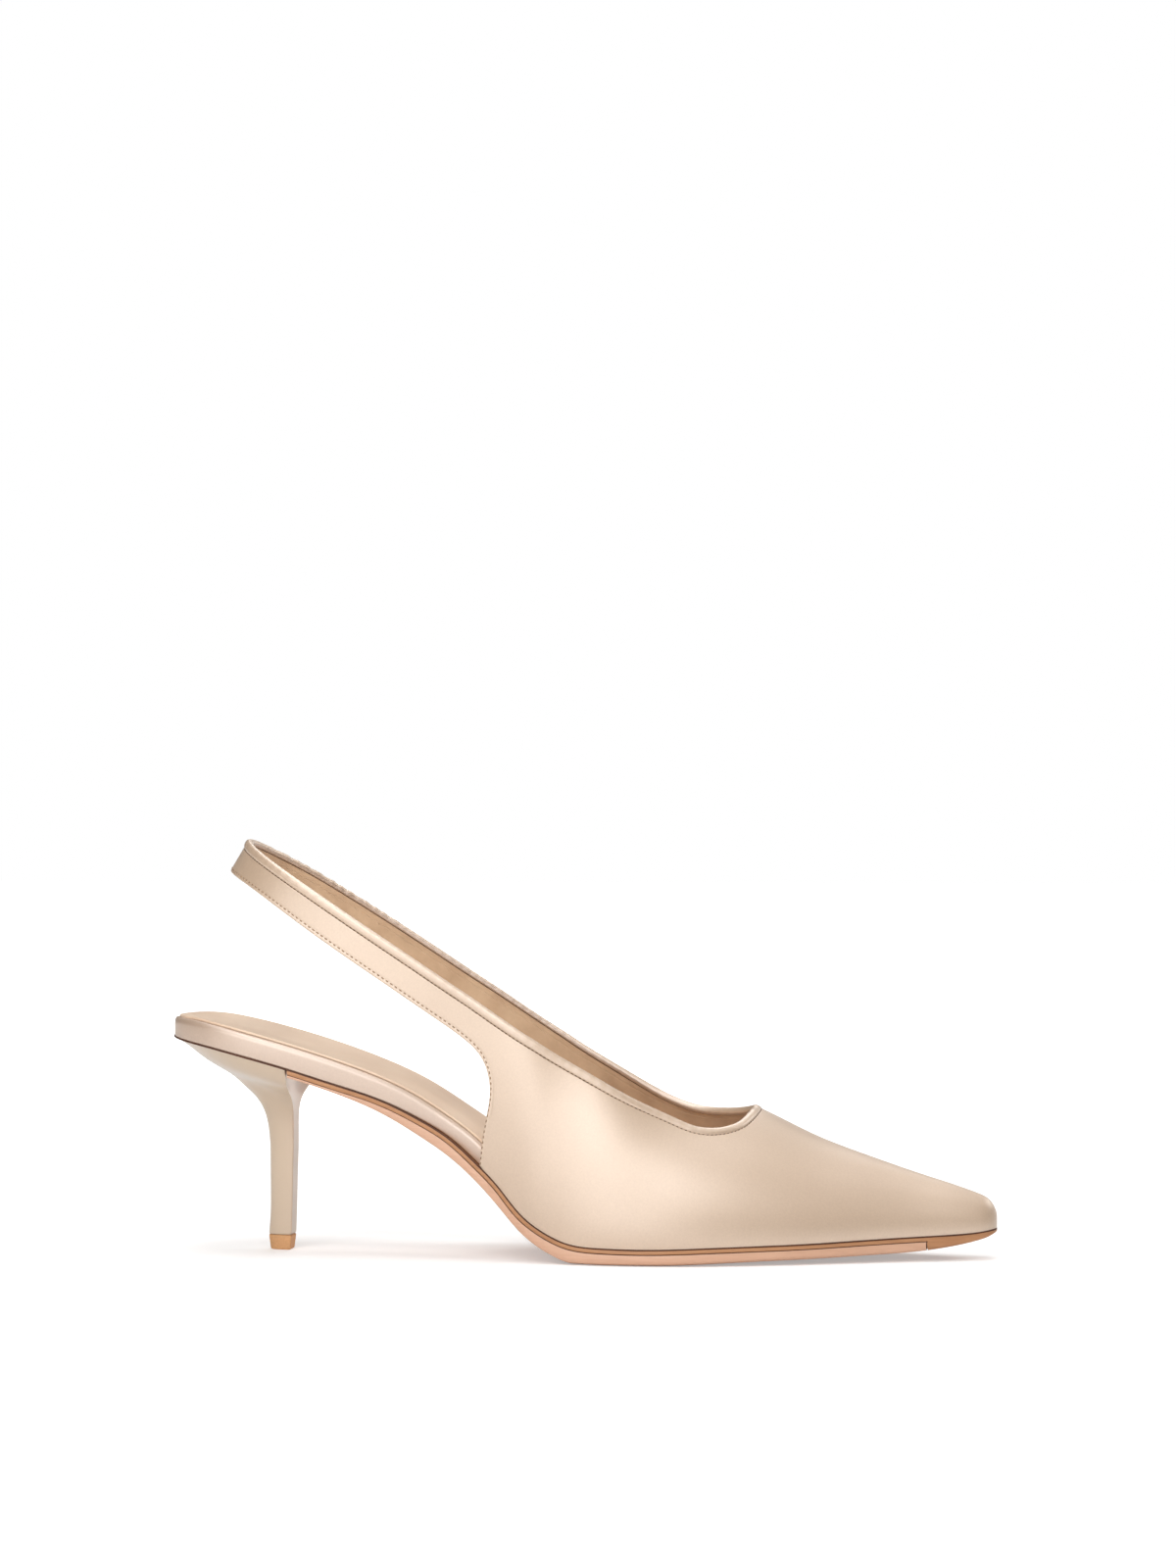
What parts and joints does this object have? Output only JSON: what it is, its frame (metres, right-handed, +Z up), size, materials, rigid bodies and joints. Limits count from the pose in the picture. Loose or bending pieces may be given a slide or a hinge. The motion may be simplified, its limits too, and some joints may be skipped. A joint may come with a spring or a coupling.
{
  "type": "slingback pump",
  "caption": "Pointed-toe slingback pump for the right foot, with satin upper and sling strap in one, bound topline, wrapped insole, leather sole and slim mid-height heel.",
  "frame": {"origin": "middle of the shoe's box on the floor plane", "axes": "+X to the toe, +Y to the inner side of the foot, +Z up"},
  "size_m": [0.25, 0.0752, 0.1249],
  "materials": {
    "satin": "champagne satin with a soft broad sheen",
    "lining": "tan suede-like lining, matte",
    "sock_leather": "smooth beige leather, low sheen",
    "thread": "fine tan sewing thread",
    "tan_leather": "tan leather edge, burnished",
    "sole_leather": "smooth peach-tan sole leather",
    "heel_lacquer": "greige lacquer, glossy",
    "lift_rubber": "hard tan rubber, matte"
  },
  "bodies": {
    "root": {"upper": "satin", "topline_binding": "satin", "insole_board": "satin", "sock_lining": "sock_leather", "midsole": "tan_leather", "outsole": "sole_leather", "heel": "heel_lacquer", "top_lift": "lift_rubber"}
  },
  "joints": []
}
